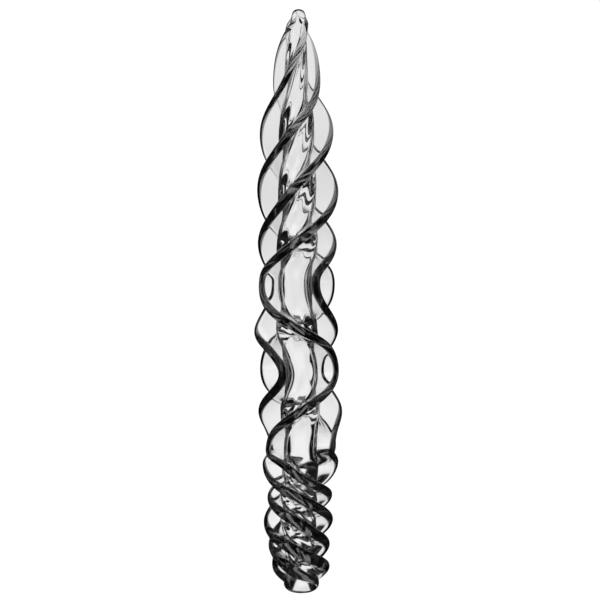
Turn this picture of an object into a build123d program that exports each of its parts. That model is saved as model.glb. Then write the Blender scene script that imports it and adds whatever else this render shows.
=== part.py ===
from build123d import *

import math
import os
from bisect import bisect_left

# One-piece glass dip pen: a solid drawn core rod, four tall ribs twisted
# round it, a drawn-out writing tip at the top and a small bead at the butt.
#
# Frame: +Z runs along the pen towards the writing tip, Z = 0 is the lowest
# point of the butt bead. The pen's axis stays near the Z axis and leans a
# little along X. Millimetres and degrees.

# ---------------------------------------------------------------- ends
LENGTH = 150.0            # overall, butt to writing tip
TIP_SEAM = 144.4          # height where the drawn tip starts
TIP_DOME = 148.2          # height where the tip's rounded end starts
TIP_DOME_EXP = 2.2        # roundness of the tip's end (2 is an ellipse)
BUTT_SEAM = 4.6           # height where the butt bead ends
BUTT_DOME = 2.75          # height where the bead's rounded end starts
BUTT_DOME_EXP = 2.3

# ---------------------------------------------------------------- ribs
RIB_NAMES = "dabc"        # anticlockwise seen from the tip
RIB_BOTTOM = 0.8          # where the ribs run out on the butt bead
RIB_TOP = 148.75          # where the ribs run out on the tip
RUNOUT_LOW = 1.6          # length over which they run out on the bead
RUNOUT_TOP = 2.6          # and on the tip
RIB_RUNOUT = 0.10         # height of a rib where it runs out
FUSION_LINE = 0.04        # gap left between a rib's root and the round body
ROOT_FILLET = 0.35        # radius of the fillet a rib leaves the core with
LEAST_FILLET = 0.2        # room kept for the fillet beside a tight root
FILLET_SHARE = 0.35       # most of a rib's height its fillet may take
CREST_SHARE = 0.6         # and its rounded crest
ROOT_SHARE = 34.0         # most of the core's round a root may take each side
ROOT_APART = 4.0          # least angle between a root and the next gap's middle
FILLET_STEPS = (0, 0.1, 0.35, 1.0)      # points up the fillet, as shares of it
FLANK_STEPS = (0.3, 0.6, 0.85, 1.0)     # and up the flank
CREST_POINTS = 4          # points on each half of the rounded crest

# Spline parameters of a rib's outline, from one root up to the crest; the
# other side mirrors them.
RISE_PARAMS = [0.0, 0.25, 0.7, 1.5, 2.5, 3.5, 4.3, 5.0, 5.7, 6.4, 7.1, 7.8]
OUTLINE_PARAMS = RISE_PARAMS + [2 * RISE_PARAMS[-1] - p for p in RISE_PARAMS[-2::-1]]

# ---------------------------------------------------------------- core
HOLLOW = 0.11             # share of its radius the core is pressed in by
HOLLOW_LOW = 4.0          # length over which the hollows fade in from the bead
HOLLOW_TOP = 6.0          # and fade out towards the tip
HOLLOW_STEPS = (-0.7, -0.25, 0.25, 0.7)  # points across a gap, -1 to 1

# ---------------------------------------------------------------- section spacing
RIB_STEP = 2.0            # most height between two sections of a rib
CORE_STEP = 1.6           # of the core
END_STEP = 1.3            # of the tip and bead
RIB_TURN = 7.5            # most a rib turns between two of its sections
CORE_TURN = 12.0          # and between two of the core's
LEAST_RATE = 0.1          # slowest twist counted, degrees per mm
RUNOUT_STEP = 0.3         # most height between rib sections near a run-out
CLOSE_BELOW = 4.5         # below this height they are that close
CLOSE_TOP = 3.2           # and within this length of the rib's top
SEAM_STEP = 0.3           # step at a seam
SEAM_GROWTH = 0.3         # growth of the step per mm away from it

# Core: height, radius.
CORE = [
    (0.0, 4.55), (2.75, 4.55), (3.3, 4.5), (3.9, 4.38), (4.6, 4.22), (5.83, 4.1),
    (14.0, 4.3), (23.8, 4.6), (36.6, 4.4), (49.5, 5.0), (62.3, 5.14),
    (76.0, 5.17), (88.0, 5.12), (100.8, 4.78), (113.7, 4.6), (123.9, 4.08),
    (129.1, 3.45), (139.3, 2.55), (144.4, 2.1), (148.2, 1.8), (150.0, 1.8),
]

# Rib crest: height, half thickness square to the rib.
CREST = [
    (0.0, 1.25), (0.7, 1.35), (5.1, 1.66), (10.9, 1.54), (17.4, 1.38),
    (23.8, 1.25), (30.0, 1.08), (38.2, 0.99), (46.4, 1.08), (56.7, 1.15),
    (67.5, 1.13), (79.5, 1.15), (90.6, 1.18), (98.3, 1.19), (108.5, 1.13),
    (123.9, 0.95), (139.3, 0.83), (150.0, 0.7),
]

# Hand-twisted ribs, section by section up the pen. Each row is: height,
# sideways lean of the axis (X), then the turn of ribs D, A, B and C about the
# axis (degrees from +X, anticlockwise seen from the tip), then the radius out
# to the crest of ribs D, A, B and C.
STATIONS = [
    (0, 0.004, 358, 448, 529.7, 252.6, 3.4, 3.4, 3.4, 3.4),
    (0.95, 0.004, 347, 438, 518.6, 242.9, 4.2, 4.2, 4.2, 4.2),
    (2.23, 0.004, 330, 420, 501.8, 228.2, 4.91, 4.84, 4.8, 4.84),
    (4.03, -0.026, 284.5, 393, 475.5, 205.3, 6.25, 6.08, 6.01, 6.06),
    (6.09, -0.126, 248.9, 362, 443, 176.2, 7.36, 7.23, 7.05, 7.15),
    (8.14, -0.266, 225, 321.2, 420.9, 155.3, 7.66, 7.9, 7.52, 7.69),
    (10.19, -0.406, 201.7, 279.9, 397.8, 132.2, 7.72, 8.29, 7.71, 7.98),
    (12.25, -0.506, 175.6, 248.3, 366.3, 101.3, 7.9, 8.5, 7.86, 8.22),
    (14.3, -0.576, 150.5, 219.8, 329.5, 66.9, 8.1, 8.68, 7.98, 8.46),
    (16.36, -0.616, 128, 196.4, 296.2, 35.7, 8.28, 8.83, 8.07, 8.67),
    (18.41, -0.616, 102.7, 175.2, 267.6, 6.3, 8.4, 8.97, 8.11, 8.83),
    (20.46, -0.596, 73, 154.4, 238.1, -25.7, 8.43, 9.13, 8.06, 8.95),
    (22.52, -0.556, 41.8, 132.8, 209.1, -57.1, 8.44, 9.27, 8.02, 9.04),
    (24.57, -0.486, 8.1, 106, 179.5, -86.9, 8.52, 9.36, 8.08, 9.12),
    (26.88, -0.386, -38.1, 70, 143.8, -119.2, 8.79, 9.35, 8.37, 9.19),
    (29.19, -0.276, -78.8, 37.7, 111.9, -146.6, 9.12, 9.4, 8.76, 9.32),
    (31.5, -0.156, -104.1, 15, 86.5, -168.4, 9.37, 9.62, 9.13, 9.53),
    (33.82, -0.056, -127.6, -5.8, 59.1, -190.6, 9.55, 9.83, 9.47, 9.74),
    (35.87, 0.014, -152.6, -29.2, 29.8, -215.6, 9.65, 10, 9.72, 9.9),
    (37.92, 0.064, -154.7, -31.6, 24.3, -219, 9.74, 10.15, 9.91, 10.05),
    (39.98, 0.084, -147.7, -29.1, 28.9, -215.9, 9.8, 10.32, 10.07, 10.21),
    (42.03, 0.084, -134.6, -25, 39.2, -209.9, 9.83, 10.49, 10.2, 10.4),
    (44.34, 0.054, -113.4, -14.7, 58.2, -196.6, 9.86, 10.68, 10.34, 10.59),
    (46.91, 0.004, -87.9, 3.5, 84.2, -175.2, 9.96, 10.84, 10.48, 10.75),
    (49.48, -0.066, -62.5, 23.7, 111.7, -151, 10.2, 10.9, 10.57, 10.88),
    (52.05, -0.156, -40.4, 40.6, 135.7, -129.8, 10.52, 10.89, 10.63, 11),
    (54.61, -0.246, -26.1, 50.9, 151.4, -116.5, 10.86, 10.86, 10.67, 11.1),
    (56.67, -0.316, -22.1, 53.3, 156, -113.4, 11.07, 10.82, 10.71, 11.17),
    (58.72, -0.396, -24.1, 51.8, 154, -116.7, 11.21, 10.78, 10.75, 11.19),
    (60.78, -0.466, -30.7, 47.2, 147.7, -125, 11.34, 10.72, 10.82, 11.16),
    (63.34, -0.536, -44.9, 36.5, 134, -141.3, 11.48, 10.66, 10.92, 11.09),
    (65.91, -0.596, -68.3, 16.5, 111.2, -166.1, 11.58, 10.6, 11.01, 11.02),
    (68.22, -0.626, -91.7, -5.1, 88.4, -189.3, 11.61, 10.59, 11.05, 11),
    (70.53, -0.646, -112, -24, 68.2, -207.1, 11.54, 10.58, 11.06, 10.97),
    (72.84, -0.646, -129.3, -39.8, 50.5, -220.1, 11.38, 10.57, 11.04, 10.92),
    (75.15, -0.626, -142.2, -51.1, 37, -228.3, 11.2, 10.55, 10.99, 10.85),
    (77.21, -0.606, -149, -56.9, 29.7, -231.7, 11.04, 10.52, 10.93, 10.77),
    (79.52, -0.566, -151.6, -58.7, 26.9, -232.6, 10.92, 10.47, 10.85, 10.69),
    (81.83, -0.526, -148.7, -55.3, 30.5, -230.4, 10.83, 10.4, 10.75, 10.58),
    (83.88, -0.486, -138.2, -44.2, 42.4, -221.4, 10.73, 10.31, 10.65, 10.44),
    (86.19, -0.446, -121.3, -26.5, 61.3, -206.8, 10.65, 10.22, 10.55, 10.29),
    (88.51, -0.406, -103.2, -7.8, 81.3, -191.3, 10.61, 10.18, 10.49, 10.18),
    (91.07, -0.366, -82.8, 12.9, 103.2, -173.4, 10.59, 10.17, 10.46, 10.11),
    (93.64, -0.336, -62.8, 32.5, 123.2, -155.1, 10.58, 10.17, 10.44, 10.08),
    (96.72, -0.306, -40.2, 54.1, 143.6, -134.4, 10.57, 10.22, 10.41, 10.13),
    (99.8, -0.286, -20.2, 72.7, 159.9, -116.4, 10.59, 10.3, 10.38, 10.24),
    (102.88, -0.276, -2, 89.7, 174.4, -100, 10.58, 10.36, 10.33, 10.35),
    (105.97, -0.266, 16.6, 107.5, 190.2, -82.6, 10.5, 10.33, 10.21, 10.37),
    (109.05, -0.256, 35.9, 126.5, 208.6, -63.6, 10.36, 10.22, 10.08, 10.27),
    (112.13, -0.256, 53.9, 144.4, 227.4, -44.8, 10.2, 10.07, 9.95, 10.12),
    (115.21, -0.266, 69.2, 159.7, 244.5, -27.6, 9.97, 9.87, 9.79, 9.9),
    (118.29, -0.276, 83.4, 174.1, 260.9, -10.9, 9.66, 9.56, 9.54, 9.58),
    (121.37, -0.276, 98.9, 190.1, 278.4, 7.6, 9.2, 9.11, 9.14, 9.12),
    (124.45, -0.276, 115.7, 207.9, 296.7, 27.4, 8.63, 8.54, 8.58, 8.54),
    (127.53, -0.276, 130.7, 225.2, 312.5, 47, 8.02, 7.93, 7.97, 7.93),
    (130.61, -0.256, 141.9, 239.5, 324.2, 64.1, 7.43, 7.33, 7.37, 7.33),
    (133.7, -0.216, 150.8, 251.4, 333.7, 78.6, 6.72, 6.62, 6.66, 6.62),
    (136.78, -0.166, 162.2, 264.9, 346, 93.8, 5.89, 5.78, 5.81, 5.78),
    (139.34, -0.106, 176.2, 279.5, 361.3, 109.8, 5.11, 5, 5.02, 4.98),
    (141.91, -0.036, 194.5, 297.7, 381.5, 129.9, 4.35, 4.24, 4.26, 4.2),
    (144.48, 0.034, 216.9, 319.5, 406.3, 153.9, 3.57, 3.47, 3.46, 3.39),
    (146.53, 0.274, 237.8, 339.4, 429.4, 175.6, 2.9, 2.81, 2.78, 2.69),
    (148.59, 0.454, 261.1, 361.5, 455.1, 199.5, 2.14, 2.05, 2, 1.89),
    (150, 0.454, 278.6, 377.9, 474.3, 217.1, 1.51, 1.43, 1.36, 1.24),
]


# ---------------------------------------------------------- interpolation
def span_index(xs, x):
    """Index of the span of xs that holds x; the end spans reach outwards."""
    return bisect_left(xs, x, 1, len(xs) - 1) - 1


def smooth_curve(xs, ys):
    """Natural cubic spline through (xs, ys); gives value and slope."""
    count = len(xs)
    width = [xs[i + 1] - xs[i] for i in range(count - 1)]
    rise = [(ys[i + 1] - ys[i]) / width[i] for i in range(count - 1)]

    # Tridiagonal system for the second derivatives, zero at both ends.
    diagonal, target, bend = [1.0] * count, [0.0] * count, [0.0] * count
    for i in range(1, count - 1):
        diagonal[i] = 2 * (width[i - 1] + width[i])
        target[i] = 6 * (rise[i] - rise[i - 1])
        if i > 1:
            factor = width[i - 1] / diagonal[i - 1]
            diagonal[i] -= factor * width[i - 1]
            target[i] -= factor * target[i - 1]
    for i in range(count - 2, 0, -1):
        bend[i] = (target[i] - width[i] * bend[i + 1]) / diagonal[i]

    def at(x):
        i = span_index(xs, x)
        a, b = (xs[i + 1] - x) / width[i], (x - xs[i]) / width[i]
        value = (
            a * ys[i] + b * ys[i + 1]
            + ((a**3 - a) * bend[i] + (b**3 - b) * bend[i + 1]) * width[i] ** 2 / 6
        )
        slope = rise[i] + (
            (3 * b * b - 1) * bend[i + 1] - (3 * a * a - 1) * bend[i]
        ) * width[i] / 6
        return value, slope

    return at


def steady_curve(xs, ys):
    """Monotone cubic through (xs, ys), with no overshoot; gives the value."""
    count = len(xs)
    width = [xs[i + 1] - xs[i] for i in range(count - 1)]
    rise = [(ys[i + 1] - ys[i]) / width[i] for i in range(count - 1)]
    slope = [rise[0]] + [0.0] * (count - 2) + [rise[-1]]
    for i in range(1, count - 1):
        if rise[i - 1] * rise[i] > 0:
            before = 2 * width[i] + width[i - 1]
            after = width[i] + 2 * width[i - 1]
            slope[i] = (before + after) / (before / rise[i - 1] + after / rise[i])

    def at(x):
        i = span_index(xs, x)
        s = (x - xs[i]) / width[i]
        return (
            (2 * s**3 - 3 * s**2 + 1) * ys[i]
            + (s**3 - 2 * s**2 + s) * width[i] * slope[i]
            + (3 * s**2 - 2 * s**3) * ys[i + 1]
            + (s**3 - s**2) * width[i] * slope[i + 1]
        )

    return at


def ease(share):
    """Smooth step from 0 to 1, flat at both ends."""
    share = max(0.0, min(1.0, share))
    return share * share * (3 - 2 * share)


columns = list(zip(*STATIONS))
heights = columns[0]
lean_at = smooth_curve(heights, columns[1])
turn_at = [smooth_curve(heights, turns) for turns in columns[2:6]]
crest_radius_at = [steady_curve(heights, radii) for radii in columns[6:10]]
core_profile = steady_curve(*zip(*CORE))
crest_half_at = steady_curve(*zip(*CREST))


def lean(z):
    """Sideways position of the axis; straight inside both rounded ends."""
    return lean_at(max(BUTT_DOME, min(TIP_DOME, z)))[0]


def core_radius(z):
    """Radius of the glass body under the ribs at height z."""
    if z > TIP_DOME:
        dome, end, exponent = TIP_DOME, LENGTH, TIP_DOME_EXP
    elif z < BUTT_DOME:
        dome, end, exponent = BUTT_DOME, 0.0, BUTT_DOME_EXP
    else:
        return core_profile(z)
    share = (z - dome) / (end - dome)
    return core_profile(dome) * (1 - share**exponent) ** (1 / exponent)


# ---------------------------------------------------------- section heights
def levels(low, high, least, step_at):
    """Heights from low to high; a last step under least joins the one before."""
    z, out = low, [low]
    while z < high:
        z += step_at(z)
        if high - z < least:
            z = high
        out.append(z)
    return out


def seam_step(z, low, high):
    """Step that grows away from the nearer of two seams."""
    return SEAM_STEP + SEAM_GROWTH * min(z - low, high - z)


# ---------------------------------------------------------------- rib section
def rib_twist(k, z):
    """Turn of rib k in radians, and its rate in radians per mm."""
    turn, rate = turn_at[k](z)
    return math.radians(turn), math.radians(rate)


def widening(radius, rate):
    """How much wider a twisted rib is cut by a level plane than square to it."""
    return math.sqrt(1 + (radius * rate) ** 2)


def rib_outer_radius(k, z):
    """Crest radius of rib k; it dies down into the body at both ends."""
    runout = core_radius(z) + RIB_RUNOUT
    fade = ease(min((z - RIB_BOTTOM) / RUNOUT_LOW, (RIB_TOP - z) / RUNOUT_TOP))
    return max(runout, runout + (crest_radius_at[k](z) - runout) * fade)


def root_share(k, z):
    """Half angle rib k's root may take, clear of its neighbours; degrees."""
    turn = turn_at[k](z)[0]
    gaps = [(turn_at[j](z)[0] - turn) % 360 for j in range(4) if j != k]
    nearest = min(min(gaps), 360 - max(gaps))
    return min(ROOT_SHARE, nearest / 2 - ROOT_APART)


def rib_half_profile(k, z):
    """Points (radius, half thickness square to the rib) from root to crest."""
    body = core_radius(z) + FUSION_LINE
    top = rib_outer_radius(k, z)
    tall = top - body
    crest = min(crest_half_at(z), CREST_SHARE * tall)
    room = math.radians(root_share(k, z)) * body / widening(body, rib_twist(k, z)[1])
    root = min(crest, room - LEAST_FILLET)
    fillet = min(ROOT_FILLET, FILLET_SHARE * tall, room - root)
    fillet_top = body + fillet
    centre = top - crest

    def half_thickness(radius):
        if radius >= centre:
            half = math.sqrt(max(0.0, crest**2 - (radius - centre) ** 2))
        else:
            half = crest + (root - crest) * (centre - radius) / (centre - body)
        if radius < fillet_top:
            half += fillet - math.sqrt(max(0.0, fillet**2 - (fillet_top - radius) ** 2))
        return half

    radii = [body + fillet * s for s in FILLET_STEPS]
    radii += [fillet_top + (centre - fillet_top) * s for s in FLANK_STEPS]
    radii += [
        centre + crest * math.sin(math.pi / 2 * i / CREST_POINTS)
        for i in range(1, CREST_POINTS + 1)
    ]
    return [(radius, half_thickness(radius)) for radius in radii]


def root_span(k, z):
    """Half angle that rib k covers on the body at height z; radians."""
    radius, half = rib_half_profile(k, z)[0]
    return half * widening(radius, rib_twist(k, z)[1]) / radius


def rib_section_edges(k, z):
    """Outer profile and root arc of rib k, in the section's own plane."""
    turn, rate = rib_twist(k, z)
    axis_x = lean(z)
    profile = rib_half_profile(k, z)
    root_radius, span = profile[0][0], root_span(k, z)

    def place(radius, angle):
        return (axis_x + radius * math.cos(angle), radius * math.sin(angle), 0)

    def flank(points, side):
        return [
            place(radius, turn + side * half * widening(radius, rate) / radius)
            for radius, half in points
        ]

    crest = place(profile[-1][0], turn)
    outer = flank(profile[:-1], -1) + [crest] + flank(profile[-2::-1], 1)
    root = [place(root_radius, turn + s * span) for s in (1, 0.5, 0, -0.5, -1)]
    return [
        Edge.make_spline(outer, parameters=OUTLINE_PARAMS),
        Edge.make_spline(root, parameters=[float(i) for i in range(5)]),
    ]


def rib_levels(k):
    """Section heights, close together where the rib turns fast or runs out."""

    def step_at(z):
        step = min(RIB_STEP, RIB_TURN / max(abs(turn_at[k](z)[1]), LEAST_RATE))
        if z < CLOSE_BELOW or z > RIB_TOP - CLOSE_TOP:
            step = min(step, RUNOUT_STEP)
        return step

    return levels(RIB_BOTTOM, RIB_TOP, least=0.15, step_at=step_at)


def build_rib(k):
    """Blade of glass with a root fillet and a rounded crest. It reverses its
    twist three times up the pen and runs out on the bead and on the tip."""
    with BuildPart() as rib:
        for z in rib_levels(k):
            with BuildSketch(Plane.XY.offset(z)):
                with BuildLine():
                    add(rib_section_edges(k, z))
                make_face()
        loft()
    return rib.part


# ---------------------------------------------------------------- core rod
def core_levels():
    """Section heights of the core: as close as the ribs' twist asks for."""

    def step_at(z):
        rate = max(abs(turn(z)[1]) for turn in turn_at)
        near_seam = seam_step(z, BUTT_SEAM, TIP_SEAM)
        return min(CORE_STEP, near_seam, CORE_TURN / max(rate, LEAST_RATE))

    return levels(BUTT_SEAM, TIP_SEAM, least=0.2, step_at=step_at)


def core_section(z):
    """Section of the core: round under each rib, pressed in between them.
    One edge from the middle of each rib's root to the next."""
    axis_x, radius = lean(z), core_radius(z)
    press = HOLLOW * ease(min((z - BUTT_SEAM) / HOLLOW_LOW, (TIP_SEAM - z) / HOLLOW_TOP))
    roots = [(rib_twist(k, z)[0], root_span(k, z)) for k in range(4)]

    def point(angle, share=0.0):
        r = radius * (1 - share)
        return (axis_x + r * math.cos(angle), r * math.sin(angle), z)

    edges = []
    for k in range(4):
        middle, half = roots[k]
        next_middle, next_half = roots[(k + 1) % 4]
        start, end = middle + half, next_middle - next_half
        width = (end - start) % (2 * math.pi)
        points = [point(middle), point(start)]
        points += [
            point(start + width * (1 + s) / 2, press * (1 - s * s) ** 2)
            for s in HOLLOW_STEPS
        ]
        points += [point(end), point(next_middle)]
        edges.append(Edge.make_spline(points, parameters=[float(i) for i in range(8)]))
    return Face(Wire(edges))


def build_core_rod():
    """Solid rod with a waist and a swell, flat where tip and bead join it."""
    with BuildPart() as rod:
        loft(sections=[core_section(z) for z in core_levels()], clean=False)
    return rod.part


# ---------------------------------------------------------------- tip and bead
def body_section(z):
    """Round section of the body at height z, as two half circles."""
    axis_x, r = lean(z), core_radius(z)
    east, west = (axis_x + r, 0, z), (axis_x - r, 0, z)
    return Face(
        Wire(
            [
                Edge.make_three_point_arc(east, (axis_x, r, z), west),
                Edge.make_three_point_arc(west, (axis_x, -r, z), east),
            ]
        )
    )


def build_end(low, high, dome, end, exponent, steps):
    """Lofted body from low to high, closed by a revolved round end that runs
    from height dome to height end, its outline drawn in that many steps."""
    sections = levels(low, high, least=0.25,
                      step_at=lambda z: min(END_STEP, seam_step(z, low, high)))
    axis_x, radius = lean(dome), core_radius(dome)
    angles = [math.pi / 2 * i / steps for i in range(steps + 1)]
    outline = [
        (
            radius * math.cos(angle) ** (2 / exponent),
            dome + (end - dome) * math.sin(angle) ** (2 / exponent),
        )
        for angle in angles
    ]
    with BuildPart() as body:
        loft(sections=[body_section(z) for z in sections], clean=False)
        with BuildSketch(Plane(origin=(axis_x, 0, 0), x_dir=(1, 0, 0), z_dir=(0, -1, 0))):
            with BuildLine():
                Spline(*outline, tangents=[(0, math.copysign(1, end - dome)), (-1, 0)])
                Polyline((0, end), (0, dome), (radius, dome))
            make_face()
        revolve(axis=Axis((axis_x, 0, 0), (0, 0, 1)))
    return body.part


def save(part, name):
    part.label = name
    export_step(part, f"parts/{name}.step")


os.makedirs("parts", exist_ok=True)

save(build_core_rod(), "core_rod")

# Writing tip: drawn out from the rod to a slim rounded point.
save(
    build_end(low=TIP_SEAM, high=TIP_DOME, dome=TIP_DOME, end=LENGTH,
              exponent=TIP_DOME_EXP, steps=10),
    "nib_tip",
)

# Butt bead: closes the other end, a little fatter than the rod beside it.
save(
    build_end(low=BUTT_DOME, high=BUTT_SEAM, dome=BUTT_DOME, end=0.0,
              exponent=BUTT_DOME_EXP, steps=12),
    "butt_bead",
)

for k, letter in enumerate(RIB_NAMES):
    save(build_rib(k), f"rib_{letter}")
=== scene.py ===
"""Looks for the glass dip pen: one clear fused body of twisted glass, lit from behind.

The pen stands along +Z with its butt at zero. A slightly leaning core rod carries four
ribs (d, a, b, c) that wind round it. The camera looks along +Y. The pen's sizes are in
millimetres; the lights, camera and room are in metres.
"""
import math
from collections import namedtuple

import bpy
import numpy as np
from mathutils import Matrix, Vector


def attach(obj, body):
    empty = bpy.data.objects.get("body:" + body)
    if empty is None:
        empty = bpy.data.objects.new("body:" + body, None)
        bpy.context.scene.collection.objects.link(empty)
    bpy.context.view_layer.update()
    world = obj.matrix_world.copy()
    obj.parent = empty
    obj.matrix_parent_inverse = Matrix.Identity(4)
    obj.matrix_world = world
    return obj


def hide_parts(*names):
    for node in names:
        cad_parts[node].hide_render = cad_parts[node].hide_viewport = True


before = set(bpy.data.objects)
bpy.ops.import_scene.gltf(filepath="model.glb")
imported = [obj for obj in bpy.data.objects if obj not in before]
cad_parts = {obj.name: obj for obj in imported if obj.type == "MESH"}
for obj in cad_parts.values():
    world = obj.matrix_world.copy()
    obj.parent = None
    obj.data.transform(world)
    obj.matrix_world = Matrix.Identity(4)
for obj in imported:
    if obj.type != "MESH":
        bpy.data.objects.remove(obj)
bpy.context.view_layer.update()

MM = 0.001

# ------------------------------------------------------------- sizes of the pen
LENGTH = 150.0
TIP_SEAM, TIP_DOME = 144.4, 148.2  # where the tip piece starts, where it rounds over
BUTT_SEAM, BUTT_DOME = 4.6, 2.75
TIP_POWER, BUTT_POWER = 2.2, 2.3  # superellipse powers of the rounded ends
RIB_BOTTOM, RIB_TOP = 0.8, 148.75
RUNOUT_LOW, RUNOUT_TOP = 1.6, 2.6  # lengths over which a rib rises and dies away
LEAST_RIB = 0.04  # height of a rib above the core at its very ends
ROOT_FILLET, LEAST_FILLET = 0.35, 0.2
FILLET_SHARE, CREST_SHARE = 0.35, 0.6  # most of a rib's height that each may take
ROOT_SHARE, ROOT_CLEARANCE = 34.0, 4  # most half angle of a root, gap to the next, degrees
HOLLOW = 0.11  # how far the core is pressed in between ribs, share of its radius
HOLLOW_LOW, HOLLOW_TOP = 4.0, 6.0  # lengths over which the hollow fades at the seams

# height, radius
CORE = [
    (0.0, 4.55), (2.75, 4.55), (3.3, 4.5), (3.9, 4.38), (4.6, 4.22), (5.83, 4.1),
    (14.0, 4.3), (23.8, 4.6), (36.6, 4.4), (49.5, 5.0), (62.3, 5.14),
    (76.0, 5.17), (88.0, 5.12), (100.8, 4.78), (113.7, 4.6), (123.9, 4.08),
    (129.1, 3.45), (139.3, 2.55), (144.4, 2.1), (148.2, 1.8), (150.0, 1.8),
]
# height, radius of the rounding along a rib's crest
CREST = [
    (0.0, 1.25), (0.7, 1.35), (5.1, 1.66), (10.9, 1.54), (17.4, 1.38),
    (23.8, 1.25), (30.0, 1.08), (38.2, 0.99), (46.4, 1.08), (56.7, 1.15),
    (67.5, 1.13), (79.5, 1.15), (90.6, 1.18), (98.3, 1.19), (108.5, 1.13),
    (123.9, 0.95), (139.3, 0.83), (150.0, 0.7),
]
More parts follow.
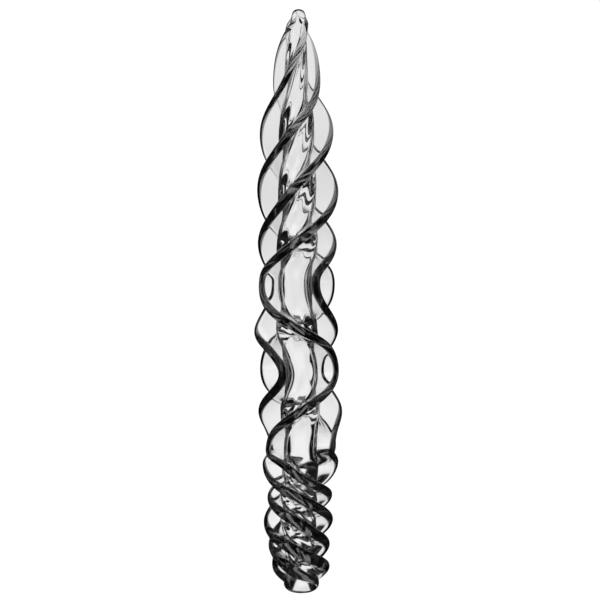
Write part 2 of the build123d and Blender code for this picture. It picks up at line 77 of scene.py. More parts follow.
# height, lean of the axis along X, turn of ribs d a b c (degrees),
# distance of the crests of ribs d a b c from the axis
STATIONS = [
    (0, 0.004, 358, 448, 529.7, 252.6, 3.4, 3.4, 3.4, 3.4),
    (0.95, 0.004, 347, 438, 518.6, 242.9, 4.2, 4.2, 4.2, 4.2),
    (2.23, 0.004, 330, 420, 501.8, 228.2, 4.91, 4.84, 4.8, 4.84),
    (4.03, -0.026, 284.5, 393, 475.5, 205.3, 6.25, 6.08, 6.01, 6.06),
    (6.09, -0.126, 248.9, 362, 443, 176.2, 7.36, 7.23, 7.05, 7.15),
    (8.14, -0.266, 225, 321.2, 420.9, 155.3, 7.66, 7.9, 7.52, 7.69),
    (10.19, -0.406, 201.7, 279.9, 397.8, 132.2, 7.72, 8.29, 7.71, 7.98),
    (12.25, -0.506, 175.6, 248.3, 366.3, 101.3, 7.9, 8.5, 7.86, 8.22),
    (14.3, -0.576, 150.5, 219.8, 329.5, 66.9, 8.1, 8.68, 7.98, 8.46),
    (16.36, -0.616, 128, 196.4, 296.2, 35.7, 8.28, 8.83, 8.07, 8.67),
    (18.41, -0.616, 102.7, 175.2, 267.6, 6.3, 8.4, 8.97, 8.11, 8.83),
    (20.46, -0.596, 73, 154.4, 238.1, -25.7, 8.43, 9.13, 8.06, 8.95),
    (22.52, -0.556, 41.8, 132.8, 209.1, -57.1, 8.44, 9.27, 8.02, 9.04),
    (24.57, -0.486, 8.1, 106, 179.5, -86.9, 8.52, 9.36, 8.08, 9.12),
    (26.88, -0.386, -38.1, 70, 143.8, -119.2, 8.79, 9.35, 8.37, 9.19),
    (29.19, -0.276, -78.8, 37.7, 111.9, -146.6, 9.12, 9.4, 8.76, 9.32),
    (31.5, -0.156, -104.1, 15, 86.5, -168.4, 9.37, 9.62, 9.13, 9.53),
    (33.82, -0.056, -127.6, -5.8, 59.1, -190.6, 9.55, 9.83, 9.47, 9.74),
    (35.87, 0.014, -152.6, -29.2, 29.8, -215.6, 9.65, 10, 9.72, 9.9),
    (37.92, 0.064, -154.7, -31.6, 24.3, -219, 9.74, 10.15, 9.91, 10.05),
    (39.98, 0.084, -147.7, -29.1, 28.9, -215.9, 9.8, 10.32, 10.07, 10.21),
    (42.03, 0.084, -134.6, -25, 39.2, -209.9, 9.83, 10.49, 10.2, 10.4),
    (44.34, 0.054, -113.4, -14.7, 58.2, -196.6, 9.86, 10.68, 10.34, 10.59),
    (46.91, 0.004, -87.9, 3.5, 84.2, -175.2, 9.96, 10.84, 10.48, 10.75),
    (49.48, -0.066, -62.5, 23.7, 111.7, -151, 10.2, 10.9, 10.57, 10.88),
    (52.05, -0.156, -40.4, 40.6, 135.7, -129.8, 10.52, 10.89, 10.63, 11),
    (54.61, -0.246, -26.1, 50.9, 151.4, -116.5, 10.86, 10.86, 10.67, 11.1),
    (56.67, -0.316, -22.1, 53.3, 156, -113.4, 11.07, 10.82, 10.71, 11.17),
    (58.72, -0.396, -24.1, 51.8, 154, -116.7, 11.21, 10.78, 10.75, 11.19),
    (60.78, -0.466, -30.7, 47.2, 147.7, -125, 11.34, 10.72, 10.82, 11.16),
    (63.34, -0.536, -44.9, 36.5, 134, -141.3, 11.48, 10.66, 10.92, 11.09),
    (65.91, -0.596, -68.3, 16.5, 111.2, -166.1, 11.58, 10.6, 11.01, 11.02),
    (68.22, -0.626, -91.7, -5.1, 88.4, -189.3, 11.61, 10.59, 11.05, 11),
    (70.53, -0.646, -112, -24, 68.2, -207.1, 11.54, 10.58, 11.06, 10.97),
    (72.84, -0.646, -129.3, -39.8, 50.5, -220.1, 11.38, 10.57, 11.04, 10.92),
    (75.15, -0.626, -142.2, -51.1, 37, -228.3, 11.2, 10.55, 10.99, 10.85),
    (77.21, -0.606, -149, -56.9, 29.7, -231.7, 11.04, 10.52, 10.93, 10.77),
    (79.52, -0.566, -151.6, -58.7, 26.9, -232.6, 10.92, 10.47, 10.85, 10.69),
    (81.83, -0.526, -148.7, -55.3, 30.5, -230.4, 10.83, 10.4, 10.75, 10.58),
    (83.88, -0.486, -138.2, -44.2, 42.4, -221.4, 10.73, 10.31, 10.65, 10.44),
    (86.19, -0.446, -121.3, -26.5, 61.3, -206.8, 10.65, 10.22, 10.55, 10.29),
    (88.51, -0.406, -103.2, -7.8, 81.3, -191.3, 10.61, 10.18, 10.49, 10.18),
    (91.07, -0.366, -82.8, 12.9, 103.2, -173.4, 10.59, 10.17, 10.46, 10.11),
    (93.64, -0.336, -62.8, 32.5, 123.2, -155.1, 10.58, 10.17, 10.44, 10.08),
    (96.72, -0.306, -40.2, 54.1, 143.6, -134.4, 10.57, 10.22, 10.41, 10.13),
    (99.8, -0.286, -20.2, 72.7, 159.9, -116.4, 10.59, 10.3, 10.38, 10.24),
    (102.88, -0.276, -2, 89.7, 174.4, -100, 10.58, 10.36, 10.33, 10.35),
    (105.97, -0.266, 16.6, 107.5, 190.2, -82.6, 10.5, 10.33, 10.21, 10.37),
    (109.05, -0.256, 35.9, 126.5, 208.6, -63.6, 10.36, 10.22, 10.08, 10.27),
    (112.13, -0.256, 53.9, 144.4, 227.4, -44.8, 10.2, 10.07, 9.95, 10.12),
    (115.21, -0.266, 69.2, 159.7, 244.5, -27.6, 9.97, 9.87, 9.79, 9.9),
    (118.29, -0.276, 83.4, 174.1, 260.9, -10.9, 9.66, 9.56, 9.54, 9.58),
    (121.37, -0.276, 98.9, 190.1, 278.4, 7.6, 9.2, 9.11, 9.14, 9.12),
    (124.45, -0.276, 115.7, 207.9, 296.7, 27.4, 8.63, 8.54, 8.58, 8.54),
    (127.53, -0.276, 130.7, 225.2, 312.5, 47, 8.02, 7.93, 7.97, 7.93),
    (130.61, -0.256, 141.9, 239.5, 324.2, 64.1, 7.43, 7.33, 7.37, 7.33),
    (133.7, -0.216, 150.8, 251.4, 333.7, 78.6, 6.72, 6.62, 6.66, 6.62),
    (136.78, -0.166, 162.2, 264.9, 346, 93.8, 5.89, 5.78, 5.81, 5.78),
    (139.34, -0.106, 176.2, 279.5, 361.3, 109.8, 5.11, 5, 5.02, 4.98),
    (141.91, -0.036, 194.5, 297.7, 381.5, 129.9, 4.35, 4.24, 4.26, 4.2),
    (144.48, 0.034, 216.9, 319.5, 406.3, 153.9, 3.57, 3.47, 3.46, 3.39),
    (146.53, 0.274, 237.8, 339.4, 429.4, 175.6, 2.9, 2.81, 2.78, 2.69),
    (148.59, 0.454, 261.1, 361.5, 455.1, 199.5, 2.14, 2.05, 2, 1.89),
    (150, 0.454, 278.6, 377.9, 474.3, 217.1, 1.51, 1.43, 1.36, 1.24),
]
RIBS = "dabc"

# ---------------------------------------------------------------- mesh fineness
# most height between rings, and most turn of the fastest rib (degrees)
RING_MAX, RING_TURN = ((0.24, 2.0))
LEAST_RING = 0.03  # rings closer than this are thinned out
ROOT = 8  # parts of each root arc, shared by rib and core
GAP = 12  # parts of the bare core between two roots
SECTOR = ROOT + GAP
RING = 4 * SECTOR
# points of half a rib profile, from the root to just under the crest's top
FILLET_ANGLES = np.linspace(0, math.pi / 2, 6)
FLANK_SHARES = (0.25, 0.5, 0.72, 0.88, 1.0)
CREST_ANGLES = np.linspace(0, math.pi / 2, 14)[1:-1]
HALF = len(FILLET_ANGLES) + len(FLANK_SHARES) + len(CREST_ANGLES)
PROFILE = 2 * HALF + 1

# ---------------------------------------------------------------- glass surface
# ripple height in mm; roughness where smoothest and where least smooth
RIPPLE_CORE, RIPPLE_RIB, RIPPLE_TIP = 0.02, 0.01, 0.02
POLISH_CORE, POLISH_RIB = (0.0, 0.0), (0.06, 0.08)
TINT = (0.975, 0.977, 0.976)
# height, how much light the painted shade of the rib crests lets through there
PAINTED_CREST_CLEARNESS = [(0, 0.03), (60, 0.03), (110, 0.05), (130, 0.12), (141, 0.3), (150, 0.7)]
PAINTED_SHADE_FROM, PAINTED_SHADE_TO = 0.0, 12.0  # where the painted shade sets in, degrees up the crest's rounding
PAINTED_SHADE_BEHIND = 0.0  # share of the painted shade left on crests seen through the pen
FLOW_RADIUS = 5.0  # of the core in flow coordinates
FLOW_RIB_PITCH = 40  # keeps the patterns of the ribs apart
FLOW_SIDE = 6  # keeps the two flanks of a rib apart


# ----------------------------------------------------------------------- curves
def smooth_curve(xs, ys):
    """Natural cubic spline; returns a function giving value and slope arrays."""
    xs, ys = np.asarray(xs, float), np.asarray(ys, float)
    n, h = len(xs), np.diff(xs)
    system, right = np.eye(n), np.zeros(n)
    for i in range(1, n - 1):
        system[i, i - 1 : i + 2] = h[i - 1], 2 * (h[i - 1] + h[i]), h[i]
        right[i] = 6 * ((ys[i + 1] - ys[i]) / h[i] - (ys[i] - ys[i - 1]) / h[i - 1])
    bend = np.linalg.solve(system, right)

    def at(x):
        x = np.asarray(x, float)
        i = np.clip(np.searchsorted(xs, x) - 1, 0, n - 2)
        p, q = (xs[i + 1] - x) / h[i], (x - xs[i]) / h[i]
        value = (
            p * ys[i]
            + q * ys[i + 1]
            + ((p**3 - p) * bend[i] + (q**3 - q) * bend[i + 1]) * h[i] ** 2 / 6
        )
        slope = (ys[i + 1] - ys[i]) / h[i] + (
            (3 * q * q - 1) * bend[i + 1] - (3 * p * p - 1) * bend[i]
        ) * h[i] / 6
        return value, slope

    return at


def steady_curve(points):
    """Monotone cubic, with no overshoot."""
    xs = np.array([p[0] for p in points], float)
    ys = np.array([p[1] for p in points], float)
    h = np.diff(xs)
    chord = np.diff(ys) / h
    slope = np.zeros(len(xs))
    slope[0], slope[-1] = chord[0], chord[-1]
    for i in range(1, len(xs) - 1):
        if chord[i - 1] * chord[i] > 0:
            w0, w1 = 2 * h[i] + h[i - 1], h[i] + 2 * h[i - 1]
            slope[i] = (w0 + w1) / (w0 / chord[i - 1] + w1 / chord[i])

    def at(x):
        x = np.asarray(x, float)
        i = np.clip(np.searchsorted(xs, x) - 1, 0, len(xs) - 2)
        s = (x - xs[i]) / h[i]
        return (
            (2 * s**3 - 3 * s**2 + 1) * ys[i]
            + (s**3 - 2 * s**2 + s) * h[i] * slope[i]
            + (3 * s**2 - 2 * s**3) * ys[i + 1]
            + (s**3 - s**2) * h[i] * slope[i + 1]
        )

    return at


def ease(share):
    """Smoothstep of a share, held between 0 and 1."""
    share = np.clip(share, 0, 1)
    return share * share * (3 - 2 * share)


station_heights = [s[0] for s in STATIONS]
lean_curve = smooth_curve(station_heights, [s[1] for s in STATIONS])
turn_curves = [smooth_curve(station_heights, [s[2 + k] for s in STATIONS]) for k in range(4)]
reach_curves = [steady_curve([(s[0], s[6 + k]) for s in STATIONS]) for k in range(4)]
core_curve, crest_curve = steady_curve(CORE), steady_curve(CREST)


def core_radius(z):
    """Core radius, closed to nothing by a superellipse at either end."""
    r = core_curve(np.clip(z, BUTT_DOME, TIP_DOME))
    s = np.clip((z - TIP_DOME) / (LENGTH - TIP_DOME), 0, 1)
    r = r * (1 - s**TIP_POWER) ** (1 / TIP_POWER)
    s = np.clip((BUTT_DOME - z) / BUTT_DOME, 0, 1)
    return r * (1 - s**BUTT_POWER) ** (1 / BUTT_POWER)


# ------------------------------------------------------------------------ rings
def ring_heights():
    """Heights of the mesh rings: close where the ribs turn fast and at both ends."""
    fixed = [RIB_BOTTOM, BUTT_DOME, BUTT_SEAM, TIP_SEAM, TIP_DOME, RIB_TOP]
    # the rounded ends are stepped by angle, so that they close smoothly
    steps = np.linspace(0, math.pi / 2, 34)[1:-1]
    low = BUTT_DOME * (1 - np.sin(steps) ** (2 / BUTT_POWER))
    top = TIP_DOME + (LENGTH - TIP_DOME) * np.sin(steps) ** (2 / TIP_POWER)
    z, middle = RIB_BOTTOM, []
    while z < RIB_TOP:
        rate = max(abs(float(curve(z)[1])) for curve in turn_curves)
        z += min(RING_MAX, RING_TURN / max(rate, 1.0))
        middle.append(z)
    heights = sorted(set(np.round(list(low) + list(top) + middle + fixed, 5)))
    heights = [x for x in heights if 0.004 < x < LENGTH - 0.003]
    keep = [heights[0]]
    for x in heights[1:]:
        if x - keep[-1] > LEAST_RING or x in fixed:
            if x in fixed and x - keep[-1] < LEAST_RING and keep[-1] not in fixed:
                keep.pop()
            keep.append(x)
    return np.array(keep)


heights = ring_heights()
ring_count = len(heights)
axis_x = lean_curve(np.clip(heights, BUTT_DOME, TIP_DOME))[0]


def ring_at(z):
    return int(np.argmin(abs(heights - z)))


butt_ring, tip_ring = ring_at(BUTT_SEAM), ring_at(TIP_SEAM)
rib_first, rib_last = ring_at(RIB_BOTTOM), ring_at(RIB_TOP)
RIB_RINGS = slice(rib_first, rib_last + 1)
rib_rows = rib_last - rib_first + 1

# x, y and reach (distance from the axis) by ring and profile point;
# turn and half root angle by ring, in radians
Rib = namedtuple("Rib", "x y reach turn root")


def root_room(k):
    """Half angle a rib's root may take, in radians: never past its neighbours."""
    turn = [curve(heights)[0] for curve in turn_curves]
    gaps = [(turn[j] - turn[k]) % 360 for j in range(4) if j != k]
    near = np.minimum(np.minimum.reduce(gaps), 360 - np.maximum.reduce(gaps))
    return np.radians(np.minimum(ROOT_SHARE, 0.5 * near - ROOT_CLEARANCE))


def rib_outline(k):
    """Outline of rib k at every ring: fillet, flank and round crest, both sides."""
    z = np.clip(heights, RIB_BOTTOM, RIB_TOP)
    body = core_radius(z)
    turn, rate = turn_curves[k](heights)
    turn, rate = np.radians(turn), np.radians(rate)
    fade = ease(np.minimum((z - RIB_BOTTOM) / RUNOUT_LOW, (RIB_TOP - z) / RUNOUT_TOP))
    top = body + LEAST_RIB + np.maximum(reach_curves[k](z) - body - LEAST_RIB, 0) * fade
    tall = top - body
    crest = np.minimum(crest_curve(z), CREST_SHARE * tall)
    room = root_room(k) * body / np.sqrt(1 + (body * rate) ** 2)
    web = np.minimum(crest, room - LEAST_FILLET)
    fillet = np.minimum(np.minimum(ROOT_FILLET, FILLET_SHARE * tall), room - web)
    centre = top - crest

    def half_width(r):
        """Half thickness of the rib, square to its run, at distance r."""
        rounded = np.sqrt(np.maximum(0.0, crest * crest - np.maximum(r - centre, 0) ** 2))
        s = np.clip((centre - r) / (centre - body), 0, 1)
        plain = np.where(r >= centre, rounded, crest + (web - crest) * s)
        d = np.clip(fillet - (r - body), 0, fillet)
        flare = fillet - np.sqrt(np.maximum(0, fillet * fillet - d * d))
        return plain + np.where(r < body + fillet, flare, 0)

    flank = centre - (body + fillet)
    radii = [body + fillet * (1 - math.cos(a)) for a in FILLET_ANGLES]
    radii += [body + fillet + flank * s for s in FLANK_SHARES]
    radii += [centre + crest * math.sin(a) for a in CREST_ANGLES]
    left, right = [], []
    for r in radii:
        spread = half_width(r) * np.sqrt(1 + (r * rate) ** 2) / r
        left.append((r, turn - spread))
        right.append((r, turn + spread))
    outline = left + [(top, turn)] + right[::-1]
    return Rib(
        x=np.stack([axis_x + r * np.cos(a) for r, a in outline], 1),
        y=np.stack([r * np.sin(a) for r, a in outline], 1),
        reach=np.stack([r for r, a in outline], 1),
        turn=turn,
        root=half_width(body) * np.sqrt(1 + (body * rate) ** 2) / body,
    )


ribs = [rib_outline(k) for k in range(4)]


def core_angles():
    """Angles of the core's points by ring: a root arc then a bare gap, four times."""
    centres = [ribs[0].turn]
    for k in (1, 2, 3, 0):
        # whole turns are added so that the ribs follow each other round
        wanted = centres[-1] + math.pi / 2
        own = ribs[k].turn
        centres.append(own + 2 * math.pi * np.round((wanted - own) / (2 * math.pi)))
    angles = []
    for k in range(4):
        low, high = centres[k] - ribs[k].root, centres[k] + ribs[k].root
        after = centres[k + 1] - ribs[(k + 1) % 4].root
        angles += [low + (high - low) * i / ROOT for i in range(ROOT)]
        angles += [high + (after - high) * i / GAP for i in range(GAP)]
    return np.stack(angles, 1)


angles = core_angles()
assert (np.diff(angles, axis=1) > 1e-5).all(), "rib roots overlap"


def core_points():
    """Points of the core, pressed a little hollow between two roots."""
    dip = [(1 - (2 * i / GAP - 1) ** 2) ** 2 for i in range(GAP)]
    across = np.array(([0.0] * ROOT + dip) * 4)
    along = ease(
        np.minimum((heights - BUTT_SEAM) / HOLLOW_LOW, (TIP_SEAM - heights) / HOLLOW_TOP)
    )
    radius = core_radius(heights)[:, None] * (1 - HOLLOW * across[None] * along[:, None])
    x = axis_x[:, None] + radius * np.cos(angles)
    y = radius * np.sin(angles)
    z = np.broadcast_to(heights[:, None], angles.shape)
    return np.stack([x, y, z], 2).reshape(-1, 3)


# One shared point list: the core's rings, each rib's outer points, then the poles.
# The first and last outline points of a rib are the core's own root points.
point_parts = [core_points()]
point_count = ring_count * RING
core_id = np.arange(point_count).reshape(ring_count, RING)
rib_id = []
for k, rib in enumerate(ribs):
    x, y = rib.x[RIB_RINGS, 1:-1], rib.y[RIB_RINGS, 1:-1]
    z = np.broadcast_to(heights[RIB_RINGS, None], x.shape)
    point_parts.append(np.stack([x, y, z], 2).reshape(-1, 3))
    ids = np.zeros((rib_rows, PROFILE), int)
    ids[:, 1:-1] = point_count + np.arange(x.size).reshape(x.shape)
    ids[:, 0] = core_id[RIB_RINGS, k * SECTOR]
    ids[:, -1] = core_id[RIB_RINGS, k * SECTOR + ROOT]
    rib_id.append(ids)
    point_count += x.size
pole_low, pole_high = point_count, point_count + 1
point_parts.append(np.array([[axis_x[0], 0, 0.0], [axis_x[-1], 0, LENGTH]]))
points = np.concatenate(point_parts)


# ------------------------------------------------------------------------ faces
def grid_quads(ids, wrap=False):
    """Quads of a grid of rings, facing out when ids run anticlockwise."""
    if wrap:
        ids = np.concatenate([ids, ids[:, :1]], 1)
    a, b = ids[:-1], ids[1:]
    return np.stack([a[:, :-1], a[:, 1:], b[:, 1:], b[:, :-1]], 2).reshape(-1, 4)


def body_faces(first, last):
    """(bare skin quads, covered root quads) of the core between two rings."""
    quads = grid_quads(core_id[first : last + 1], wrap=True)
    ring = np.repeat(np.arange(first, last), RING)
    column = np.tile(np.arange(RING), last - first) % SECTOR
    covered = (column < ROOT) & (ring >= rib_first) & (ring < rib_last)
    return quads[~covered], quads[covered]


def end_caps(outline, root, flip):
    """Faces closing one end of a rib, one to each part of the root arc. The last
    one runs straight from its last outline point to the root."""
    per = (PROFILE - 1) // ROOT
    caps = []
    for j in range(ROOT):
        arc = list(outline[per * j : per * (j + 1) + 1])
        face = arc[::-1] + [int(root[j]), int(root[j + 1])]
        # the outline starts on a root point, which would be named twice
        clean = [v for i, v in enumerate(face) if i == 0 or v != face[i - 1]]
        if clean[0] == clean[-1]:
            clean.pop()
        caps.append(clean[::-1] if flip else clean)
    return caps


def rib_faces(k):
    """(skin quads, joint quads, end caps) of rib k. Every part faces out of the rib."""
    ids = rib_id[k]
    root = core_id[RIB_RINGS, k * SECTOR : k * SECTOR + ROOT + 1]
    caps = end_caps(ids[0], root[0], False) + end_caps(ids[-1], root[-1], True)
    return grid_quads(ids), grid_quads(root[:, ::-1]), caps


rib_parts = [rib_faces(k) for k in range(4)]
low_fan = [
    [int(core_id[0, (k + 1) % RING]), int(core_id[0, k]), pole_low] for k in range(RING)
]
high_fan = [
    [int(core_id[-1, k]), int(core_id[-1, (k + 1) % RING]), pole_high] for k in range(RING)
]


def face_area(face):
    """Area vector of a polygon."""
    p = points[list(face)]
    return np.cross(p, np.roll(p, -1, 0)).sum(0) / 2


def skin_normals():
    """Shading normals averaged over the whole fused skin, so that no seam shows
    where one gather of glass runs into the next."""
    normals = np.zeros_like(points)
    for q in [body_faces(0, ring_count - 1)[0]] + [part[0] for part in rib_parts]:
        area = np.cross(points[q[:, 2]] - points[q[:, 0]], points[q[:, 3]] - points[q[:, 1]]) / 2
        length = np.linalg.norm(area, axis=1, keepdims=True)
        area = area / np.maximum(length, 1e-12) * np.sqrt(length)
        for corner in range(4):
            np.add.at(normals, q[:, corner], area)
    for ring, fan in ((core_id[0], low_fan), (core_id[-1], high_fan)):
        for v, (first, second, pole) in zip(ring, fan):
            normals[v] += face_area([pole, first, second])
    normals[pole_low], normals[pole_high] = (0, 0, -1), (0, 0, 1)
    return normals / np.maximum(np.linalg.norm(normals, axis=1, keepdims=True), 1e-12)


# ------------------------------------------------------------- point attributes
def flow_coordinates():
    """Round the pen and along it, following the twist, in mm."""
    flow = np.zeros((len(points), 3))
    around = angles - np.radians(turn_curves[0](heights)[0])[:, None]
    flow[core_id.ravel()] = np.stack(
        [
            (np.cos(around) * FLOW_RADIUS).ravel(),
            (np.sin(around) * FLOW_RADIUS).ravel(),
            np.repeat(heights, RING),
        ],
        1,
    )
    side = np.concatenate([-np.ones(HALF), [0], np.ones(HALF)])
    for k in range(4):
        reach = ribs[k].reach[RIB_RINGS]
        run = np.cumsum(np.r_[0, np.hypot(np.diff(reach.mean(0)), 0.15)])
        rib_flow = np.stack(
            [
                np.broadcast_to(run[None] + FLOW_RIB_PITCH * (k + 1), reach.shape),
                reach * 0.5 + side[None] * FLOW_SIDE,
                np.broadcast_to(heights[RIB_RINGS, None], reach.shape),
            ],
            2,
        )
        flow[rib_id[k][:, 1:-1].ravel()] = rib_flow[:, 1:-1].reshape(-1, 3)
    flow[pole_low], flow[pole_high] = (0, 0, 0), (0, 0, LENGTH)
    return flow


def painted_crest_shade():
    """Clearness of each point under painted shade: the rounded crests are painted dark, most
    towards the butt.
    """
    painted_shade = np.ones(len(points))
    crest = ease((np.degrees(CREST_ANGLES) - PAINTED_SHADE_FROM) / (PAINTED_SHADE_TO - PAINTED_SHADE_FROM))
    crest = np.concatenate([np.zeros(HALF - len(crest)), crest])
    crest = np.concatenate([crest, [1.0], crest[::-1]])
    clear = np.interp(heights, [c[0] for c in PAINTED_CREST_CLEARNESS], [c[1] for c in PAINTED_CREST_CLEARNESS])
    value = 1 - crest[None] * (1 - clear[RIB_RINGS, None])
    for ids in rib_id:
        painted_shade[ids[:, 1:-1].ravel()] = value[:, 1:-1].ravel()
    return painted_shade


normals = skin_normals()
flow = flow_coordinates()
# painted shade of the rib crests, 1 where none is painted
painted_shade = painted_crest_shade()


def build_piece(name, skin, joint, materials):
    """One closed piece: skin polygons, then fused joint polygons."""
    polys = list(skin) + list(joint)
    sizes = np.array([len(p) for p in polys])
    loops = np.concatenate([np.asarray(p, int) for p in polys])
    used, local = np.unique(loops, return_inverse=True)
    me = bpy.data.meshes.new(name)
    me.vertices.add(len(used))
    me.vertices.foreach_set("co", (points[used] * MM).astype(np.float32).ravel())
    me.loops.add(len(loops))
    me.loops.foreach_set("vertex_index", local.astype(np.int32))
    me.polygons.add(len(polys))
    starts = np.concatenate([[0], np.cumsum(sizes)[:-1]])
    me.polygons.foreach_set("loop_start", starts.astype(np.int32))
    for material in materials:
        me.materials.append(material)
    slot = np.zeros(len(polys), np.int32)
    slot[len(skin) :] = 1
    me.polygons.foreach_set("material_index", slot)
    me.polygons.foreach_set("use_smooth", np.ones(len(polys), bool))
    attribute = me.attributes.new("flow", "FLOAT_VECTOR", "POINT")
    attribute.data.foreach_set("vector", flow[used].astype(np.float32).ravel())
    # point attribute of painted shade on the rib crests, read by the glass material
    attribute = me.attributes.new("painted_shade", "FLOAT", "POINT")
    attribute.data.foreach_set("value", painted_shade[used].astype(np.float32))
    me.update(calc_edges=True)
    # joint faces stay flat, skin takes the fused body's normals
    loop_normals = normals[loops]
    face_normals = np.zeros(len(polys) * 3, np.float32)
    me.polygons.foreach_get("normal", face_normals)
    face_normals = face_normals.reshape(-1, 3)
    owner = np.repeat(np.arange(len(polys)), sizes)
    inner = owner >= len(skin)
    loop_normals[inner] = face_normals[owner[inner]]
    me.normals_split_custom_set([tuple(v) for v in loop_normals])
    me.validate(clean_customdata=False)
    ob = bpy.data.objects.new(name, me)
    bpy.context.scene.collection.objects.link(ob)
    return ob


# ----------------------------------------------------------------- node helpers
def node(tree, kind, place, inputs=None, **settings):
    """A node at a place in the editor. A value in inputs that is a socket is linked."""
    n = tree.nodes.new(kind)
    n.location = place
    for key, value in settings.items():
        setattr(n, key, value)
    for key, value in (inputs or {}).items():
        if isinstance(value, bpy.types.NodeSocket):
            tree.links.new(value, n.inputs[key])
        else:
            n.inputs[key].default_value = value
    return n


def maths(tree, operation, place, *values):
    inputs = dict(enumerate(values))
    return node(tree, "ShaderNodeMath", place, inputs, operation=operation).outputs[0]


def map_range(tree, place, value, source=(0.0, 1.0), target=(0.0, 1.0), kind="LINEAR"):
    inputs = {
        "Value": value,
        "From Min": source[0],
        "From Max": source[1],
        "To Min": target[0],
        "To Max": target[1],
    }
    return node(tree, "ShaderNodeMapRange", place, inputs, interpolation_type=kind).outputs[0]


def colour_ramp(tree, place, factor, low, high, span=(0.0, 1.0)):
    ramp = node(tree, "ShaderNodeValToRGB", place, {0: factor})
    for element, position, colour in zip(ramp.color_ramp.elements, span, (low, high)):
        element.position = position
        element.color = (*colour, 1)
    return ramp.outputs[0]


def camera_ray(tree, place):
    return node(tree, "ShaderNodeLightPath", place).outputs["Is Camera Ray"]


def camera_switch(tree, path_place, place, seen, otherwise):
    """One value for rays straight from the camera, another for all the rest."""
    inputs = {"Factor": camera_ray(tree, path_place), "A": otherwise, "B": seen}
    return node(tree, "ShaderNodeMix", place, inputs, data_type="FLOAT").outputs["Result"]


def new_material(name):
    mat = bpy.data.materials.new(name)
    mat.use_nodes = True
    return mat


# -------------------------------------------------------------------- materials
def flow_noise(tree, height, location, scale, detail, roughness):
    """Noise over the flow coordinates, stretched by scale."""
    coordinates = tree.nodes["flow"].outputs["Vector"]
    mapping = node(
        tree, "ShaderNodeMapping", (-700, height),
        {"Vector": coordinates, "Location": location, "Scale": scale},
    )
    noise = node(
        tree, "ShaderNodeTexNoise", (-500, height),
        {"Vector": mapping.outputs[0], "Scale": 1.0, "Detail": detail, "Roughness": roughness},
    )
    return noise.outputs["Fac"]


def clear_glass(name, ripple, seed, polish):
    """Drawn clear glass: smooth, faintly grey, with long soft draw ripples,
    finer striae along the twist and a slight breath of uneven polish.
    Its colour is darkened by the painted shade on the rib crests."""
    mat = new_material(name)
    t = mat.node_tree
    t.nodes.clear()
    node(t, "ShaderNodeAttribute", (-900, 0), attribute_name="flow", name="flow")
    ripples = flow_noise(
        t, 120, location=(seed * 3.7, seed * 1.3, 0), scale=(0.55, 0.55, 0.11),
        detail=1.0, roughness=0.4,
    )
    striae = flow_noise(
        t, -160, location=(seed * 1.9, 5.0, seed * 2.1), scale=(2.4, 2.4, 0.07),
        detail=2.0, roughness=0.5,
    )
    bump = node(
        t, "ShaderNodeBump", (150, -120),
        {"Strength": 1.0, "Distance": ripple * 0.001, "Height": ripples},
    )
    bump = node(
        t, "ShaderNodeBump", (350, -160),
        {
            "Strength": 1.0,
            "Distance": ripple * 0.00008,
            "Height": striae,
            "Normal": bump.outputs[0],
        },
    )
    # tint varies a little along the draw
    low_tint = [c * 0.985 for c in TINT]
    tint = colour_ramp(t, (-200, 320), ripples, low=low_tint, high=TINT, span=(0.3, 0.7))
    # the painted shade is full where the eye meets the crest, weaker on crests seen through the
    # pen
    clear = node(t, "ShaderNodeAttribute", (-200, 520), attribute_name="painted_shade").outputs["Fac"]
    keep = map_range(t, (-500, 700), camera_ray(t, (-700, 700)), target=(PAINTED_SHADE_BEHIND, 1.0))
    grey = maths(t, "SUBTRACT", (-50, 620), 1.0, clear)
    less = maths(t, "MULTIPLY", (100, 620), grey, keep)
    left = maths(t, "SUBTRACT", (250, 620), 1.0, less)
    # the tint darkened by the painted crest shade
    tinted = node(
        t, "ShaderNodeVectorMath", (100, 400), {0: tint, "Scale": left}, operation="SCALE"
    )
    rough = map_range(t, (-200, 60), striae, source=(0.45, 0.9), target=polish)
    glass = node(
        t, "ShaderNodeBsdfPrincipled", (600, 0),
        {"Transmission Weight": 1.0, "IOR": 1.47, "Roughness": 0.0},
    )
    t.links.new(tinted.outputs[0], glass.inputs["Base Color"])
    t.links.new(rough, glass.inputs["Roughness"])
    t.links.new(bump.outputs[0], glass.inputs["Normal"])
    node(t, "ShaderNodeOutputMaterial", (900, 0), {"Surface": glass.outputs[0]})
    return mat


def fused_joint():
    """Where two gathers are melted into one there is no surface to see."""
    mat = new_material("fused_joint")
    inputs = mat.node_tree.nodes["Principled BSDF"].inputs
    inputs["Base Color"].default_value = (0.95, 0.95, 0.95, 1)
    inputs["Roughness"].default_value = 0.0
    inputs["Alpha"].default_value = 0.0
    mat.surface_render_method = "BLENDED"
    return mat


joint_mat = fused_joint()
core_mat = clear_glass("glass_core", ripple=RIPPLE_CORE, seed=1, polish=POLISH_CORE)
rib_mat = clear_glass("glass_rib", ripple=RIPPLE_RIB, seed=2, polish=POLISH_RIB)
tip_mat = clear_glass("glass_tip", ripple=RIPPLE_TIP, seed=3, polish=POLISH_CORE)


# ----------------------------------------------------------------------- pieces
def body_piece(name, first, last, fan, discs, material):
    """A length of the core with its rounded end, if any, and its seam discs."""
    skin, joint = body_faces(first, last)
    return build_piece(name, list(skin) + fan, list(joint) + discs, [material, joint_mat])


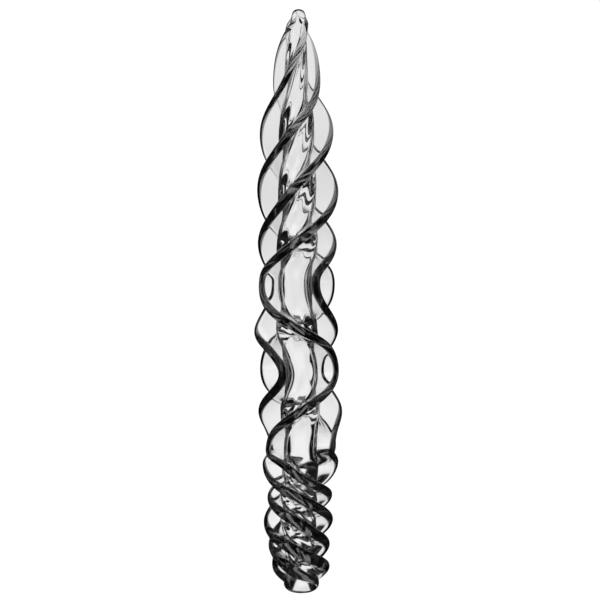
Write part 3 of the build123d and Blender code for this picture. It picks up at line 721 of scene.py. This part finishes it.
butt_disc, tip_disc = core_id[butt_ring], core_id[tip_ring]
core = body_piece(
    "core_rod_glass", butt_ring, tip_ring, [], [butt_disc[::-1], tip_disc], core_mat
)
tip = body_piece(
    "nib_tip_glass", tip_ring, ring_count - 1, high_fan, [tip_disc[::-1]], tip_mat
)
bead = body_piece("butt_bead_glass", 0, butt_ring, low_fan, [butt_disc], core_mat)
pieces = [(core, "core_rod"), (tip, "nib_tip"), (bead, "butt_bead")]
for letter, (skin, joint, caps) in zip(RIBS, rib_parts):
    name = "rib_" + letter
    ob = build_piece(name + "_glass", list(skin) + caps, joint, [rib_mat, joint_mat])
    pieces.append((ob, name))
for ob, name in pieces:
    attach(ob, "root")
    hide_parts(name)

# ----------------------------------------------------------------------- camera
# A long lens, level with the pen and rolled by its slight lean.
LENS, SENSOR = 300.0, 36.0  # mm
VIEW_WIDTH = 0.15406  # width of the view at the pen
CAMERA_X, CAMERA_Z = 0.000216, 0.07528
ROLL = 0.4615  # degrees
distance = LENS * VIEW_WIDTH / SENSOR

cam_data = bpy.data.cameras.new("camera")
cam_data.lens = LENS
cam_data.sensor_width = SENSOR
cam_data.sensor_fit = "HORIZONTAL"
cam_data.clip_start, cam_data.clip_end = 0.01, 50.0
cam = bpy.data.objects.new("camera", cam_data)
bpy.context.scene.collection.objects.link(cam)
bpy.context.scene.camera = cam
facing = Matrix.Rotation(math.radians(90), 4, "X") @ Matrix.Rotation(-math.radians(ROLL), 4, "Z")
cam.matrix_world = Matrix.Translation((CAMERA_X, -distance, CAMERA_Z)) @ facing

# --------------------------------------------------------------- lamps and room
WHITE = 1.05  # brightness of backdrop and room straight to the camera
ROOM = 0.008  # brightness of the room to all other rays
GLOW = (0.77, 0.965)  # window brightness through glass, darkest and brightest patch
CLOUD = 6.0  # fineness of those patches, per metre
BACK_GAP = 0.4  # from the pen to the lit window
BOARD = (3.0, 3.0)
LOW, HIGH = -0.14, 0.30  # lit window, up from the camera's axis
WIDE_LOW, WIDE_HIGH = 0.065, 0.25  # its half width at those heights
SOFT = 0.02  # half the width of its soft edges
FLAG = 0.004  # what little the black board gives
FLOOR_RADIUS, FLOOR_Z, FLOOR_SIDES = 1.5, -0.9, 96
# name, size, place from the pen (right, up, towards the camera), strength
CARDS = [
    ("key_card", (0.25, 0.9), (-0.75, 0.25, 0.55), 1.1),
    ("fill_card", (0.18, 0.8), (0.85, 0.1, 0.35), 0.6),
]
SOFT_CARDS = [
    ("tip_card", (0.20, 0.11), (0.0, 0.085, -0.06), 0.86),
]


def emitter(name, size, place, shader, aim_height=0.0):
    """A flat glowing card fixed to the camera, turned to the pen's distance.
    shader(tree) returns the socket of its surface."""
    me = bpy.data.meshes.new(name)
    w, h = size[0] / 2, size[1] / 2
    me.from_pydata([(-w, -h, 0), (w, -h, 0), (w, h, 0), (-w, h, 0)], [], [(0, 1, 2, 3)])
    uv = me.uv_layers.new(name="card")
    for loop, corner in zip(uv.data, ((0, 0), (1, 0), (1, 1), (0, 1))):
        loop.uv = corner
    mat = new_material(name)
    tree = mat.node_tree
    tree.nodes.clear()
    node(tree, "ShaderNodeOutputMaterial", (1100, 0), {"Surface": shader(tree)})
    me.materials.append(mat)
    ob = bpy.data.objects.new(name, me)
    bpy.context.scene.collection.objects.link(ob)
    ob.parent = cam
    place = Vector((place[0], place[1], -distance + place[2]))
    aim = Vector((0, aim_height, -distance))
    turn = (place - aim).to_track_quat("Z", "Y").to_matrix().to_4x4()
    ob.matrix_basis = Matrix.Translation(place) @ turn


def backdrop_light(t):
    """A lit window in a black board, narrow below and wide above: even white
    to the camera, a little less through glass, with soft edges."""
    card = node(t, "ShaderNodeUVMap", (-1100, 0), uv_map="card")
    # metres across and up, from the middle of the board
    metres = node(
        t, "ShaderNodeMapping", (-900, 0),
        {
            "Vector": card.outputs[0],
            "Location": (-BOARD[0] / 2, -BOARD[1] / 2, 0),
            "Scale": (BOARD[0], BOARD[1], 1),
        },
    ).outputs[0]
    x, y = node(t, "ShaderNodeSeparateXYZ", (-700, 0), {0: metres}).outputs[:2]

    def soft_edge(value, edge, place):
        return map_range(t, place, value, source=(edge - SOFT, edge + SOFT), kind="SMOOTHSTEP")

    slope = (WIDE_HIGH - WIDE_LOW) / (HIGH - LOW)
    away = maths(t, "ABSOLUTE", (-500, 200), x)
    room = maths(t, "MULTIPLY_ADD", (-500, 0), y, slope, WIDE_LOW - slope * LOW)
    inside = maths(t, "SUBTRACT", (-300, 100), room, away)
    lit = soft_edge(inside, 0.0, (-100, 100))
    lit = maths(t, "MULTIPLY", (100, 0), lit, soft_edge(y, LOW, (-100, -100)))
    below = maths(t, "MULTIPLY", (-300, -300), y, -1.0)
    lit = maths(t, "MULTIPLY", (250, 0), lit, soft_edge(below, -HIGH, (-100, -300)))
    cloud = node(
        t, "ShaderNodeTexNoise", (-300, -500), {"Vector": metres, "Scale": CLOUD, "Detail": 1.0}
    )
    uneven = map_range(
        t, (-100, -500), cloud.outputs["Fac"], source=(0.35, 0.65), target=GLOW
    )
    lit = maths(t, "MULTIPLY", (400, 0), lit, uneven)
    lit = maths(t, "MAXIMUM", (550, 0), lit, FLAG)
    strength = camera_switch(t, (300, 300), (700, 100), seen=WHITE, otherwise=lit)
    return node(t, "ShaderNodeEmission", (900, 0), {"Strength": strength}).outputs[0]


def even_card(strength):
    """A card that glows evenly."""

    def shader(t):
        return node(t, "ShaderNodeEmission", (200, 0), {"Strength": strength}).outputs[0]

    return shader


def soft_card(strength):
    """A glowing card that fades to nothing at its edges and is clear to the camera."""

    def shader(t):
        glow = node(t, "ShaderNodeEmission", (500, 100), {"Strength": strength})
        thin = node(t, "ShaderNodeBsdfTransparent", (500, -100))
        card = node(t, "ShaderNodeUVMap", (-600, 0), uv_map="card")
        # -1 to 1 across the card, so that the length is 0 in its middle
        centred = node(
            t, "ShaderNodeVectorMath", (-400, 0),
            {0: card.outputs[0], 1: (2, 2, 0), 2: (-1, -1, 0)}, operation="MULTIPLY_ADD",
        )
        out = node(
            t, "ShaderNodeVectorMath", (-200, 0), {0: centred.outputs[0]}, operation="LENGTH"
        ).outputs["Value"]
        fade = map_range(
            t, (0, 0), out, source=(0.5, 1.0), target=(1.0, 0.0), kind="SMOOTHSTEP"
        )
        unseen = maths(t, "SUBTRACT", (200, 200), 1.0, camera_ray(t, (0, 300)))
        share = maths(t, "MULTIPLY", (350, 100), fade, unseen)
        inputs = {0: share, 1: thin.outputs[0], 2: glow.outputs[0]}
        return node(t, "ShaderNodeMixShader", (700, 0), inputs).outputs[0]

    return shader


def build_floor():
    """Pale round floor of the studio, well under the pen and out of its picture."""
    me = bpy.data.meshes.new("floor")
    turns = [2 * math.pi * i / FLOOR_SIDES for i in range(FLOOR_SIDES)]
    rim = [(FLOOR_RADIUS * math.cos(a), FLOOR_RADIUS * math.sin(a), FLOOR_Z) for a in turns]
    me.from_pydata(rim, [], [list(range(FLOOR_SIDES))])
    mat = new_material("floor")
    t = mat.node_tree
    surface = t.nodes["Principled BSDF"]
    surface.inputs["Roughness"].default_value = 0.7
    noise = node(t, "ShaderNodeTexNoise", (-600, 0), {"Scale": 6.0, "Detail": 3.0})
    colour = colour_ramp(
        t, (-300, 0), noise.outputs["Fac"], low=(0.80, 0.80, 0.80), high=(0.86, 0.86, 0.86)
    )
    t.links.new(colour, surface.inputs["Base Color"])
    me.materials.append(mat)
    floor = bpy.data.objects.new("floor", me)
    bpy.context.scene.collection.objects.link(floor)


def build_world():
    """A nearly dark room that the camera sees as white."""
    world = bpy.data.worlds.new("room")
    bpy.context.scene.world = world
    world.use_nodes = True
    t = world.node_tree
    background = t.nodes["Background"]
    background.inputs["Color"].default_value = (1, 1, 1, 1)
    strength = camera_switch(t, (-400, 0), (-200, 0), seen=WHITE, otherwise=ROOM)
    t.links.new(strength, background.inputs["Strength"])


emitter("backdrop", BOARD, (0, 0, -BACK_GAP), backdrop_light)
for name, size, place, strength in CARDS:
    emitter(name, size, place, even_card(strength))
for name, size, place, strength in SOFT_CARDS:
    emitter(name, size, place, soft_card(strength), aim_height=place[1])
build_floor()
build_world()

# ----------------------------------------------------------------------- render
scene = bpy.context.scene
view = scene.view_settings
view.view_transform = "Standard"
view.look = "None"
view.exposure = 0.0
view.gamma = 1.0
# light crosses many glass surfaces before it leaves the pen
cycles = scene.cycles
cycles.max_bounces = 40
cycles.transmission_bounces = 40
cycles.glossy_bounces = 24
cycles.diffuse_bounces = 2
cycles.transparent_max_bounces = 96
cycles.caustics_reflective = True
cycles.caustics_refractive = True
cycles.sample_clamp_indirect = 0.0
cycles.blur_glossy = 0.0
cycles.use_adaptive_sampling = False
cycles.use_denoising = True
cycles.denoiser = "OPENIMAGEDENOISE"
cycles.denoising_input_passes = "RGB"
